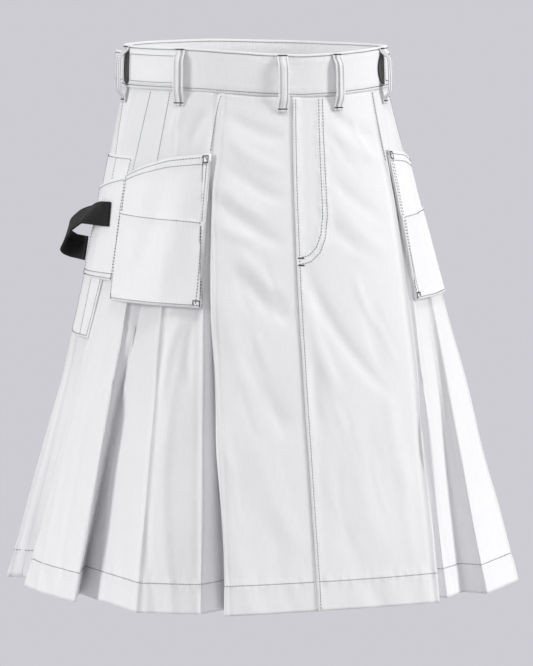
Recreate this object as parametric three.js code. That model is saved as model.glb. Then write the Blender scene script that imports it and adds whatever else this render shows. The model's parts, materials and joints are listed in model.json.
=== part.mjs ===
import * as THREE from 'three';

// Utility kilt, in millimetres, worn shape, front towards -Y, wearer's right towards -X.
// The origin is the middle of the waist opening, at the height of the waistband's top edge.

// Driving sizes
const HEM_Z = -611;
const WAIST_A = 152.5;
const WAIST_B = 124;
const BAND_HEIGHT = 46.5;
const BAND_THICK = 3.4;
const BAND_PROUD = 0.9;
const BAND_FLARE = 1.5;
const CLOTH = 2;
const HEM_CLOTH = 3;
const HEM_DEPTH = 30;
const SEAM_GAP = 0.4;
const LAY_GAP = 0.35;
const PATCH = 1.4;
const PATCH_TOP = 3 / 8;
const TOOL_STAND = 2.2;
const WEBBING = 2;
const WEBBING_WIDE = 25.5;
const LOOP_WIDE = 12.5;
const LOOP_THICK = 1.8;
const LOOP_STAND = 8.6;
const LOOP_BELOW = 16;
const STRAP_WIDE = 35;
const STRAP_THICK = 1.6;
const TAPE_WIDE = 37;

// Height of the waistband's top edge round the waist
const WAIST_EDGE = [
  { deg: 0, z: -11 },
  { deg: 15, z: -9.6 },
  { deg: 30, z: -6.9 },
  { deg: 45, z: -4.3 },
  { deg: 60, z: -3 },
  { deg: 90, z: -1.4 },
  { deg: 120, z: 0 },
  { deg: 150, z: 2.2 },
  { deg: 180, z: 3.8 },
];

// Ridges of each side, front to back: angle at the waist, place at the hem, how far the ridge
// bends aside and at which share of the height most, strips up to the next ridge,
// and how far that run is rounded out
const RIDGES = {
  right: [
    { name: 'fly', deg: -4.5, x: -19, y: -208, bendX: -5, bendY: 0, bendAt: 0.34, parts: 6, round: 2 },
    { name: 'R0', deg: -35.5, x: -124, y: -199, bendX: -11, bendY: 0, bendAt: 0.34, parts: 2, round: 0 },
    { name: 'E0', deg: -40.5, x: -148, y: -175, bendX: -2, bendY: 1, bendAt: 0.34, parts: 3, round: 1 },
    { name: 'R1', deg: -54, x: -202, y: -137, bendX: 0, bendY: 0, bendAt: 0.34, parts: 3, round: 0 },
    { name: 'R2', deg: -60, x: -237, y: -42, bendX: -3, bendY: 0, bendAt: 0.34, parts: 5, round: 4 },
    { name: 'R3', deg: -71.5, x: -246, y: 84, bendX: 0, bendY: 0, bendAt: 0.5, parts: 4, round: 3 },
    { name: 'R4', deg: -108, x: -241, y: 159, bendX: 9, bendY: -3, bendAt: 0.5, parts: 4, round: 5 },
    { name: 'back', deg: -142, x: -150, y: 203, bendX: 4, bendY: -4, bendAt: 0.5, parts: 5, round: 0 },
    { name: 'middle', deg: -180, x: 0, y: 215, bendX: 0, bendY: -4, bendAt: 0.5, parts: 0, round: 0 },
  ],
  left: [
    { name: 'fly', deg: -4.5, x: -19, y: -208, bendX: -5, bendY: 0, bendAt: 0.34, parts: 7, round: 3 },
    { name: 'R0', deg: 42.5, x: 126, y: -209, bendX: 10, bendY: 0, bendAt: 0.42, parts: 2, round: 0 },
    { name: 'E0', deg: 47.5, x: 150, y: -184, bendX: 7, bendY: 0, bendAt: 0.42, parts: 3, round: 0 },
    { name: 'R1', deg: 61, x: 203, y: -177, bendX: 3, bendY: 0, bendAt: 0.34, parts: 3, round: 0 },
    { name: 'R2', deg: 67.5, x: 279, y: -107, bendX: 0, bendY: 0, bendAt: 0.34, parts: 5, round: 4 },
    { name: 'R3', deg: 79, x: 272, y: 22, bendX: -4, bendY: -4, bendAt: 0.5, parts: 4, round: 3 },
    { name: 'R4', deg: 114, x: 250, y: 150, bendX: -6, bendY: -3, bendAt: 0.5, parts: 4, round: 5 },
    { name: 'back', deg: 145, x: 152, y: 203, bendX: -4, bendY: -4, bendAt: 0.5, parts: 5, round: 0 },
    { name: 'middle', deg: 180, x: 0, y: 215, bendX: 0, bendY: -4, bendAt: 0.5, parts: 0, round: 0 },
  ],
};

// Pleats of each side: the ridge before it, its share of the way to the next ridge
// when the cloth lies flat, its deepest place at the hem, and how far down it starts to open
const PLEATS = {
  right: [
    { after: 'R0', share: 0.45, x: -106, y: -156, opens: 0.12 },
    { after: 'R1', share: 0.4, x: -211, y: 13, opens: 0.3 },
    { after: 'R3', share: 0.3, x: -194, y: 134, opens: 0.16 },
  ],
  left: [
    { after: 'R0', share: 0.45, x: 124, y: -166, opens: 0.1 },
    { after: 'E0', share: 0.72, x: 185, y: -154, opens: 0.4 },
    { after: 'R2', share: 0.25, x: 244, y: -58, opens: 0.22 },
    { after: 'R3', share: 0.2, x: 236, y: 40, opens: 0.08 },
  ],
};

// Shares of the way down at which the cloth is cut into rings
const LEVELS = [0, 0.05, 0.12, 0.2, 0.3, 0.4, 0.5, 0.6, 0.7, 0.8, 0.88];

const lerp = (a, b, t) => a + (b - a) * t;
const rad = (deg) => (deg * Math.PI) / 180;
const SIDES = { right: -1, left: 1 };

// Height of the waistband's top edge at an angle
function edgeHeight(deg) {
  const d = Math.abs(deg);
  for (let i = 1; i < WAIST_EDGE.length; i++) {
    const a = WAIST_EDGE[i - 1];
    const b = WAIST_EDGE[i];
    if (d <= b.deg) {
      const t = (1 - Math.cos((Math.PI * (d - a.deg)) / (b.deg - a.deg))) / 2;
      return lerp(a.z, b.z, lerp(t, (d - a.deg) / (b.deg - a.deg), 0.6));
    }
  }
  return WAIST_EDGE[WAIST_EDGE.length - 1].z;
}

// A point of the waist ring, moved out from it by `out`
function waistPoint(deg, out) {
  const t = rad(deg);
  return [(WAIST_A + out) * Math.sin(t), -(WAIST_B + out) * Math.cos(t)];
}

// A soft bump that is zero at both ends and one at the share `peak`
function bump(u, peak) {
  const power = Math.log(0.5) / Math.log(peak);
  return Math.sin(Math.PI * Math.min(Math.max(u, 0), 1) ** power) ** 1.5;
}

// The flat cloth: q counts ridges and shares between them, u runs from waistband to hem
function flatPoint(side, q, u) {
  const rows = RIDGES[side];
  const i = Math.min(Math.floor(q), rows.length - 2);
  const f = q - i;
  const a = rows[i];
  const b = rows[i + 1];
  const deg = lerp(a.deg, b.deg, f);
  const [wx, wy] = waistPoint(deg, 0);
  const long = Math.hypot(b.x - a.x, b.y - a.y);
  const bow = a.round * 4 * f * (1 - f);
  const turn = SIDES[side];
  const hx = lerp(a.x, b.x, f) + (turn * (b.y - a.y) * bow) / long;
  const hy = lerp(a.y, b.y, f) - (turn * (b.x - a.x) * bow) / long;
  const top = edgeHeight(deg) - BAND_HEIGHT - SEAM_GAP;
  const bendA = bump(u, a.bendAt);
  const bendB = bump(u, b.bendAt);
  const x = lerp(wx, hx, u) + lerp(a.bendX * bendA, b.bendX * bendB, f);
  const y = lerp(wy, hy, u) + lerp(a.bendY * bendA, b.bendY * bendB, f);
  return [x, y, lerp(top, HEM_Z, u)];
}

const ridgeIndex = (side, name) => RIDGES[side].findIndex((r) => r.name === name);

// Outward direction of the flat cloth
function flatNormal(side, q, u) {
  const last = RIDGES[side].length - 1;
  const a = flatPoint(side, Math.max(q - 0.06, 0), u);
  const b = flatPoint(side, Math.min(q + 0.06, last), u);
  const top = flatPoint(side, q, Math.max(u - 0.02, 0));
  const low = flatPoint(side, q, Math.min(u + 0.02, 1));
  const across = new THREE.Vector3(b[0] - a[0], b[1] - a[1], b[2] - a[2]);
  const down = new THREE.Vector3(low[0] - top[0], low[1] - top[1], low[2] - top[2]);
  return across.cross(down).multiplyScalar(-SIDES[side]).normalize();
}

// The stops of one side's cloth from the fly to the middle of the back
function stops(side) {
  const list = [];
  const rows = RIDGES[side];
  rows.forEach((row, i) => {
    list.push({ q: i, pleat: null, name: row.name });
    if (i === rows.length - 1) return;
    const inner = PLEATS[side].filter((p) => p.after === row.name);
    const marks = [0, ...inner.map((p) => p.share), 1];
    for (let k = 1; k < marks.length; k++) {
      const wide = marks[k] - marks[k - 1];
      const n = Math.max(1, Math.round(row.parts * wide));
      const first = inner[k - 2] || null;
      const second = inner[k - 1] || null;
      for (let j = 1; j <= n; j++) {
        if (k === marks.length - 1 && j === n) break;
        const f = j / n;
        list.push({
          q: i + lerp(marks[k - 1], marks[k], f),
          pleat: { first, second, f, i },
          name: j === n ? `${row.name}-pleat` : `${row.name}+${list.length}`,
        });
      }
    }
  });
  return list;
}

// How far a pleat has moved from the flat cloth at a level
function pleatShift(side, pleat, i, u) {
  if (!pleat) return [0, 0];
  const flat = flatPoint(side, i + pleat.share, 1);
  const grow = Math.max(0, (u - pleat.opens) / (1 - pleat.opens));
  return [(pleat.x - flat[0]) * grow, (pleat.y - flat[1]) * grow];
}

function clothPoint(side, stop, u) {
  const p = flatPoint(side, stop.q, u);
  if (!stop.pleat) return p;
  const { first, second, f, i } = stop.pleat;
  const a = pleatShift(side, first, i, u);
  const b = pleatShift(side, second, i, u);
  return [p[0] + lerp(a[0], b[0], f), p[1] + lerp(a[1], b[1], f), p[2]];
}

// The whole ring of stops: fly, wearer's right, back, wearer's left, back to the fly
const RIGHT = stops('right').map((s) => ({ ...s, side: 'right' }));
const LEFT = stops('left').map((s) => ({ ...s, side: 'left' }));
const RING = [...RIGHT, ...LEFT.slice(1, -1).reverse()];

// Outer and inner points of the whole ring at one level, thickness measured square to the cloth
function ringAt(u, thick) {
  const outer = RING.map((s) => clothPoint(s.side, s, u));
  const n = outer.length;
  const inner = outer.map((p, i) => {
    const a = outer[(i + n - 1) % n];
    const b = outer[(i + 1) % n];
    const d1 = [p[0] - a[0], p[1] - a[1]];
    const d2 = [b[0] - p[0], b[1] - p[1]];
    const l1 = Math.hypot(...d1);
    const l2 = Math.hypot(...d2);
    const m = [-d1[1] / l1 - d2[1] / l2, d1[0] / l1 + d2[0] / l2];
    const lm = Math.hypot(...m);
    const cos = Math.max(lm / 2, 0.45);
    return [p[0] - (m[0] / lm) * (thick / cos), p[1] - (m[1] / lm) * (thick / cos), p[2]];
  });
  return { outer, inner };
}

// Closed body from rings of equal length that follow each other; capped at both ends
function solid(name, rings, material) {
  const points = [];
  rings.forEach((ring) => ring.forEach((p) => points.push(...p)));
  const n = rings[0].length;
  const faces = [];
  const quad = (a, b, c, d) => faces.push(a, b, c, a, c, d);
  for (let r = 0; r + 1 < rings.length; r++) {
    for (let k = 0; k < n; k++) {
      const k2 = (k + 1) % n;
      if (k < n / 2) quad(r * n + k, r * n + k2, (r + 1) * n + k2, (r + 1) * n + k);
      else quad(r * n + k2, (r + 1) * n + k2, (r + 1) * n + k, r * n + k);
    }
  }
  // The caps join the outer half of a ring with its inner half
  const half = n / 2;
  for (const [r, turn] of [[0, false], [rings.length - 1, true]]) {
    for (let k = 0; k + 1 < half; k++) {
      const a = r * n + k;
      const b = r * n + k + 1;
      const c = r * n + (n - 2 - k);
      const d = r * n + (n - 1 - k);
      if (turn) quad(a, b, c, d);
      else quad(d, c, b, a);
    }
  }
  const geometry = new THREE.BufferGeometry();
  geometry.setAttribute('position', new THREE.Float32BufferAttribute(points, 3));
  geometry.setIndex(faces);
  if (volume(points, faces) < 0) {
    for (let i = 0; i < faces.length; i += 3) [faces[i], faces[i + 1]] = [faces[i + 1], faces[i]];
    geometry.setIndex(faces);
  }
  geometry.computeVertexNormals();
  const mesh = new THREE.Mesh(geometry, material);
  mesh.name = name;
  return mesh;
}

function volume(p, faces) {
  let sum = 0;
  for (let i = 0; i < faces.length; i += 3) {
    const [a, b, c] = [0, 1, 2].map((k) => new THREE.Vector3(...p.slice(faces[i + k] * 3, faces[i + k] * 3 + 3)));
    sum += a.dot(b.cross(c));
  }
  return sum;
}

const cloth = (name, tone) => new THREE.MeshStandardMaterial({ name, color: tone, roughness: 0.9 });
const twill = (name) => cloth(name, 0xf1f1f2);

const stopAt = (name, side) => RING.findIndex((s) => s.name === name && s.side === side);

// One cut panel of the kilt: a run of the ring, with its turned hem at the bottom
function panel(name, start, end, material) {
  const count = end - start + 1;
  const hemStart = 1 - HEM_DEPTH / -HEM_Z;
  const cuts = [...LEVELS, hemStart, hemStart + 0.002, 1];
  const rings = cuts.map((u) => {
    const { outer, inner } = ringAt(u, u > hemStart ? HEM_CLOTH : CLOTH);
    const pick = (list) => Array.from({ length: count }, (_, k) => list[(start + k) % RING.length]);
    return [trim(pick(outer)), trim(pick(inner))];
  });
  return solid(name, rings.map(([o, i]) => [...o, ...i.reverse()]), material);
}

// Draws both ends of a run back by half the seam gap
function trim(run) {
  const pull = (p, to) => {
    const long = Math.hypot(to[0] - p[0], to[1] - p[1]);
    const t = SEAM_GAP / 2 / long;
    return [lerp(p[0], to[0], t), lerp(p[1], to[1], t), lerp(p[2], to[2], t)];
  };
  const out = run.map((p) => [...p]);
  out[0] = pull(run[0], run[1]);
  out[run.length - 1] = pull(run[run.length - 1], run[run.length - 2]);
  return out;
}

// A piece that lies on the flat cloth: place(a, b) gives its side position and height share,
// rise(a, b) how far its underside stands off
function patch(name, side, place, rise, thick, na, nb) {
  const rings = [];
  for (let j = 0; j <= nb; j++) {
    const under = [];
    const over = [];
    for (let i = 0; i <= na; i++) {
      const [q, u] = place(i / na, j / nb);
      const p = flatPoint(side, q, u);
      const n = flatNormal(side, q, u);
      const off = rise(i / na, j / nb);
      under.push([p[0] + n.x * off, p[1] + n.y * off, p[2] + n.z * off]);
      const far = off + thick;
      over.push([p[0] + n.x * far, p[1] + n.y * far, p[2] + n.z * far]);
    }
    rings.push([...over, ...under.reverse()]);
  }
  return solid(name, rings, twill(`twill_${name}`));
}

// Height share of a height, near enough for pieces on the cloth
const down = (z) => (z + 51) / (HEM_Z + 51);

// A strip swept along points, each with its outward direction and the direction of its width
function strip(name, path, wide, thick, material) {
  const rings = path.map(({ at, out, side }) => {
    const w = new THREE.Vector3(...side).normalize().multiplyScalar(wide / 2);
    const t = new THREE.Vector3(...out).normalize().multiplyScalar(thick);
    const p = new THREE.Vector3(...at);
    const low = [p.clone().sub(w), p.clone().add(w)];
    const high = [p.clone().add(w).add(t), p.clone().sub(w).add(t)];
    return [...low, ...high].map((v) => [v.x, v.y, v.z]);
  });
  return solid(name, rings, material);
}

// Outward direction of the waist ring in plan
function waistNormal(deg) {
  const t = rad(deg);
  const v = new THREE.Vector2(Math.sin(t) / WAIST_A, -Math.cos(t) / WAIST_B).normalize();
  return [v.x, v.y, 0];
}

// Waistband: one long band, open under the loop beside the fly
function waistband(material) {
  const open = -8.75;
  const steps = 72;
  const gap = 0.08;
  const rings = [];
  for (let k = 0; k <= steps; k++) {
    let deg = lerp(open - gap, open - 360 + gap, k / steps);
    if (deg < -180) deg += 360;
    const z = edgeHeight(deg);
    const low = z - BAND_HEIGHT;
    const [tx, ty] = waistPoint(deg, BAND_PROUD - BAND_FLARE);
    const [bx, by] = waistPoint(deg, BAND_PROUD);
    const n = waistNormal(deg);
    const inTop = [tx - n[0] * BAND_THICK, ty - n[1] * BAND_THICK];
    const inLow = [bx - n[0] * BAND_THICK, by - n[1] * BAND_THICK];
    rings.push([
      [tx, ty, z],
      [bx, by, low],
      [inLow[0], inLow[1], low],
      [inTop[0], inTop[1], z],
    ]);
  }
  return solid('waistband', rings, material);
}

// How far the band, or the cloth below it, stands out of the waist ring at a drop from the top edge
function surfaceOut(deg, drop) {
  if (drop < BAND_HEIGHT) return BAND_PROUD - BAND_FLARE * (1 - drop / BAND_HEIGHT);
  const side = deg < RIDGES.right[0].deg ? 'right' : 'left';
  const rows = RIDGES[side];
  const i = rows.findIndex((row, k) => k > 0 && Math.abs(row.deg) >= Math.abs(deg)) - 1;
  const q = i + (deg - rows[i].deg) / (rows[i + 1].deg - rows[i].deg);
  const u = (drop - BAND_HEIGHT - SEAM_GAP) / (edgeHeight(deg) - BAND_HEIGHT - SEAM_GAP - HEM_Z);
  const [x, y] = flatPoint(side, q, Math.max(u, 0));
  const [wx, wy] = waistPoint(deg, 0);
  const n = waistNormal(deg);
  return 0.2 + (x - wx) * n[0] + (y - wy) * n[1];
}

// Belt loop: sewn down at the top of the band and below it, standing off between
function beltLoop(name, deg, material) {
  const steps = 10;
  const n = waistNormal(deg);
  const along = [-n[1], n[0], 0];
  const top = edgeHeight(deg) - 1;
  const long = BAND_HEIGHT + LOOP_BELOW;
  const path = [];
  for (let k = 0; k <= steps; k++) {
    const s = k / steps;
    const stand = LOOP_STAND * Math.min(1, Math.sin(Math.PI * s) * 1.4) ** 0.75;
    const [x, y] = waistPoint(deg, surfaceOut(deg, 1 + s * long) + LAY_GAP + stand);
    path.push({ at: [x, y, top - s * long], out: n, side: along });
  }
  return strip(name, path, LOOP_WIDE, LOOP_THICK, material);
}

// Adjuster strap or tape: lies round the waistband under the loops, standing off from `lift` to `end`
function adjuster({ name, from, to, lift, end, wide }, material) {
  const steps = Math.max(3, Math.round(Math.abs(to - from) / 2.5));
  const path = [];
  for (let k = 0; k <= steps; k++) {
    const deg = lerp(from, to, k / steps);
    const drop = BAND_HEIGHT / 2 + 1;
    const n = waistNormal(deg);
    const [x, y] = waistPoint(deg, surfaceOut(deg, drop) + LAY_GAP + lerp(lift, end, k / steps));
    const lean = -BAND_FLARE / BAND_HEIGHT;
    path.push({ at: [x, y, edgeHeight(deg) - drop], out: n, side: [n[0] * lean, n[1] * lean, 1] });
  }
  return strip(name, path, wide, STRAP_THICK, material);
}

// Pockets of one side. They are made from the flat cloth's points, moved out.
function pockets(side) {
  const front = ridgeIndex(side, 'E0');
  const r2 = ridgeIndex(side, 'R2');
  const r3 = ridgeIndex(side, 'R3');
  const list = [];
  const mouth = (a) => lerp(-121, -146, a) + 7 * Math.sin(Math.PI * a) * (1 - a);
  const leftEdge = (b) => lerp(r3, r2 + 0.42, b);
  const frontEdge = (b) => front - 0.85 * (1 - b) ** 0.8 + 0.03;
  const holster = (a, b) => {
    const q = lerp(frontEdge(b), leftEdge(b), a);
    const patchTop = lerp(-191, -185, a);
    const upper = lerp(mouth(a), patchTop, b / PATCH_TOP);
    const lower = lerp(patchTop, lerp(-285, -282, a), (b - PATCH_TOP) / (1 - PATCH_TOP));
    return [q, down(b < PATCH_TOP ? upper : lower)];
  };
  const sag = side === 'right' ? 2.5 : 0.5;
  const stand = (a, b) => 2.6 + 5.4 * (1 - a) ** 0.7 * (0.55 + 0.45 * b) + sag * Math.sin(Math.PI * a) * (1 - b);
  list.push(patch(`holster_${side}`, side, holster, stand, PATCH, 10, 8));
  // Lower patch: sewn on the lower part of the holster pocket
  const low = (a, b) => holster(a, lerp(PATCH_TOP, 1, b));
  const lowRise = (a, b) => stand(a, lerp(PATCH_TOP, 1, b)) + PATCH + LAY_GAP;
  list.push(patch(`patch_${side}`, side, low, lowRise, 1, 10, 5));
  // Bellows strip under the front edge of the holster pocket
  const fold = (a, b) => [frontEdge(b) + 0.06 * a, down(lerp(-123, -284, b))];
  const foldRise = () => LAY_GAP;
  const foldThick = (b) => stand(0.02, b) - 2 * LAY_GAP;
  list.push(wedge(`bellows_${side}`, side, fold, foldRise, foldThick, 8));
  // Tool pocket: the wing beside the holster pocket, carrying on its mouth line
  const tool = (a, b) => {
    const q = lerp(leftEdge(b * 0.83) + 0.05, r3 + lerp(0.86, 0.8, b), a);
    return [q, down(lerp(lerp(-147, -163, a), -262, b))];
  };
  list.push(patch(`tool_pocket_${side}`, side, tool, () => TOOL_STAND, PATCH, 6, 6));
  // Rule pocket: long and narrow, behind the mouth line, hanging lower
  const ruleFront = (b) => 0.06 + 0.24 * Math.sin(Math.PI * b ** 1.3);
  const rule = (a, b) => [r3 + lerp(ruleFront(b), 0.94, a), down(lerp(-125, -325, b))];
  list.push(patch(`rule_pocket_${side}`, side, rule, () => LAY_GAP, 1.4, 5, 7));
  return list;
}

// A narrow piece with a thickness that changes down its length
function wedge(name, side, place, rise, thick, nb) {
  const rings = [];
  for (let j = 0; j <= nb; j++) {
    const b = j / nb;
    const ring = [];
    for (const [a, top] of [[0, 1], [1, 1], [1, 0], [0, 0]]) {
      const [q, u] = place(a, b);
      const p = flatPoint(side, q, u);
      const n = flatNormal(side, q, u);
      const off = rise(a, b) + (top ? thick(b) : 0);
      ring.push([p[0] + n.x * off, p[1] + n.y * off, p[2] + n.z * off]);
    }
    rings.push(ring);
  }
  return solid(name, rings, twill(`twill_${name}`));
}

// Hammer loop: webbing sewn to the tool pocket at both ends, bowed out between.
// Each row: how far along the pocket from the front end, how far out, and the height.
// HAMMER_START is the front end's place behind the pocket's ridge, RIDGE_APART the way to the next ridge
const HAMMER = [
  { along: 0, out: 0.5, z: -189 },
  { along: 10, out: 1.2, z: -189.5 },
  { along: 27, out: 5, z: -194 },
  { along: 45, out: 14, z: -203 },
  { along: 60, out: 24, z: -213 },
  { along: 71, out: 29, z: -221 },
  { along: 79, out: 27, z: -225 },
  { along: 80, out: 18, z: -227 },
  { along: 74, out: 9.5, z: -227 },
  { along: 64, out: 4, z: -227 },
  { along: 53, out: 2.9, z: -227 },
];

const HAMMER_START = 0.12;
const RIDGE_APART = 77;

function hammerLoop(material) {
  const side = 'right';
  const start = ridgeIndex(side, 'R3') + HAMMER_START;
  const knots = HAMMER.map((row) => new THREE.Vector3(row.along, row.out, row.z));
  const curve = new THREE.CatmullRomCurve3(knots, false, 'centripetal');
  const steps = 30;
  const path = curve.getPoints(steps).map((k) => {
    const q = start + k.x / RIDGE_APART;
    const p = flatPoint(side, q, down(k.z));
    const n = flatNormal(side, q, down(k.z));
    const above = flatPoint(side, q, down(k.z + 20));
    const up = new THREE.Vector3(above[0] - p[0], above[1] - p[1], above[2] - p[2]).normalize();
    return { p: new THREE.Vector3(...p).addScaledVector(n, TOOL_STAND + PATCH + LAY_GAP + k.y), up };
  });
  const points = path.map(({ p, up }, k) => {
    const next = path[Math.min(k + 1, steps)].p;
    const prev = path[Math.max(k - 1, 0)].p;
    const along = next.clone().sub(prev);
    const wide = up.addScaledVector(along, -up.dot(along) / along.lengthSq()).normalize();
    const out = wide.clone().cross(along).normalize();
    return { at: p.toArray(), out: out.toArray(), side: wide.toArray() };
  });
  return strip('hammer_loop', points, WEBBING_WIDE, WEBBING, material);
}

const group = new THREE.Group();
const pleatRight = stopAt('R0-pleat', 'right') + 1;
const pleatLeft = stopAt('R0-pleat', 'left') - 1;
const rearRight = stopAt('R4', 'right') - 1;
const rearLeft = stopAt('R4', 'left') + 1;

group.add(waistband(twill('twill_band')));
group.add(panel('front_right', 0, pleatRight, twill('twill_front_right')));
group.add(panel('side_right', pleatRight, rearRight, twill('twill_side_right')));
group.add(panel('back', rearRight, rearLeft, twill('twill_back')));
group.add(panel('side_left', rearLeft, pleatLeft, twill('twill_side_left')));
group.add(panel('front_left', pleatLeft, RING.length, twill('twill_front_left')));

const LOOPS = [
  { name: 'loop_right_side', deg: -93 },
  { name: 'loop_right_front', deg: -53.5 },
  { name: 'loop_fly', deg: -8.75 },
  { name: 'loop_front_left', deg: 16.75 },
  { name: 'loop_left_front', deg: 51 },
  { name: 'loop_left_side', deg: 95 },
  { name: 'loop_back', deg: 180 },
];
for (const { name, deg } of LOOPS) group.add(beltLoop(name, deg, twill(`twill_${name}`)));

const STRAPS = [
  { name: 'adjuster_right', from: -57, to: -88, lift: 0, end: 0, wide: STRAP_WIDE },
  { name: 'tape_right', from: -88.5, to: -97, lift: 0, end: 0, wide: TAPE_WIDE },
  { name: 'strap_end_right', from: -97.5, to: -114, lift: 0, end: 7.5, wide: STRAP_WIDE },
  { name: 'tape_left', from: 42, to: 53, lift: 0, end: 0, wide: TAPE_WIDE },
  { name: 'adjuster_left', from: 53.6, to: 86, lift: 0, end: 0, wide: STRAP_WIDE },
];
for (const row of STRAPS) {
  const dark = row.wide === TAPE_WIDE;
  group.add(adjuster(row, dark ? cloth(`hook_${row.name}`, 0x3a3530) : twill(`twill_${row.name}`)));
}

for (const side of ['right', 'left']) group.add(...pockets(side));
group.add(hammerLoop(cloth('webbing', 0x1a1a1c)));

export default group;
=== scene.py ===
import json

import bmesh
import bpy
import numpy as np
from mathutils import Matrix, Vector, kdtree

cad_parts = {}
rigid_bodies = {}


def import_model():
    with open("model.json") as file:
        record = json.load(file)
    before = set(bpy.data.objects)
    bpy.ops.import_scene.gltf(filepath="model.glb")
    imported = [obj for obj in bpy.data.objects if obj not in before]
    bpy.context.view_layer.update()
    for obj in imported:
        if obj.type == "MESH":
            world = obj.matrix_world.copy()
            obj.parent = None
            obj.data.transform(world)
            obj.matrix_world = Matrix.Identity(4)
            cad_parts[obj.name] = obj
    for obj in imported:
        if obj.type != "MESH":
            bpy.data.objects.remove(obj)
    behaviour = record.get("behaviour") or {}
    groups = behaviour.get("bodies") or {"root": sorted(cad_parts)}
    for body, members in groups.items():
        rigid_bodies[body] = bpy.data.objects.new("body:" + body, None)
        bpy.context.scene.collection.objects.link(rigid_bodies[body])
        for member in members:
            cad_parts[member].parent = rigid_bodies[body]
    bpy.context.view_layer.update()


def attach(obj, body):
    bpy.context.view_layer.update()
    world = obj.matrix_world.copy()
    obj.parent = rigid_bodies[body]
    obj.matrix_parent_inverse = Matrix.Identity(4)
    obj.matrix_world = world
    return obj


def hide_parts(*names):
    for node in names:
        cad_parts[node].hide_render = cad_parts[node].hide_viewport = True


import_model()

# Body of the kilt: five panels of white cotton and polyester twill, cut flared and sewn to a tube.
# The side panels are folded into pleats that open towards the hem, and the hem is turned up 30 mm.
# Tables are in millimetres; c counts ridges, 0 the fly, 8 the back, minus to its own right.
HEM_Z = -611
WAIST_A = 152.5
WAIST_B = 124
BAND_HEIGHT = 46.5
SEAM_GAP = 0.4
CLOTH_LONG = 553
# height of the waistband's top edge round the waist
EDGE_DEG = np.array([0, 15, 30, 45, 60, 90, 120, 150, 180], float)
EDGE_Z = np.array([-11, -9.6, -6.9, -4.3, -3, -1.4, 0, 2.2, 3.8])
EDGE_EVEN = 0.6
# angle at the waist, x and y at the hem, bend in x and y, height share of that bend, rounding
RIDGES = np.array([
    [
        (-4.5, -19, -208, -5, 0, 0.34, 2),
        (-35.5, -124, -199, -11, 0, 0.34, 0),
        (-40.5, -143, -176, -2, 1, 0.34, 1),
        (-54, -202, -137, 0, 0, 0.34, 0),
        (-60, -237, -42, -3, 0, 0.34, 4),
        (-71.5, -246, 84, 0, 0, 0.5, 3),
        (-108, -241, 159, 9, -3, 0.5, 5),
        (-142, -150, 203, 4, -4, 0.5, 0),
        (-180, 0, 215, 0, -4, 0.5, 0),
    ],
    [
        (-4.5, -19, -208, -5, 0, 0.34, 3),
        (42.5, 126, -209, 10, 0, 0.42, 0),
        (47.5, 150, -184, 7, 0, 0.42, 0),
        (61, 203, -177, 3, 0, 0.34, 0),
        (67.5, 279, -107, 0, 0, 0.34, 4),
        (79, 272, 22, -4, -4, 0.5, 3),
        (114, 250, 150, -6, -3, 0.5, 5),
        (145, 152, 203, -4, -4, 0.5, 0),
        (180, 0, 215, 0, -4, 0.5, 0),
    ],
])
# place of the pleat's inner fold when flat, its x and y at the hem, height share where it opens
PLEATS = [
    [(1.45, -106, -156, 0.19), (3.4, -211, 13, 0.3), (5.3, -194, 134, 0.3)],
    [(1.45, 124, -166, 0.16), (2.72, 185, -154, 0.4), (4.25, 244, -58, 0.22), (5.2, 236, 40, 0.08)],
]
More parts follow.
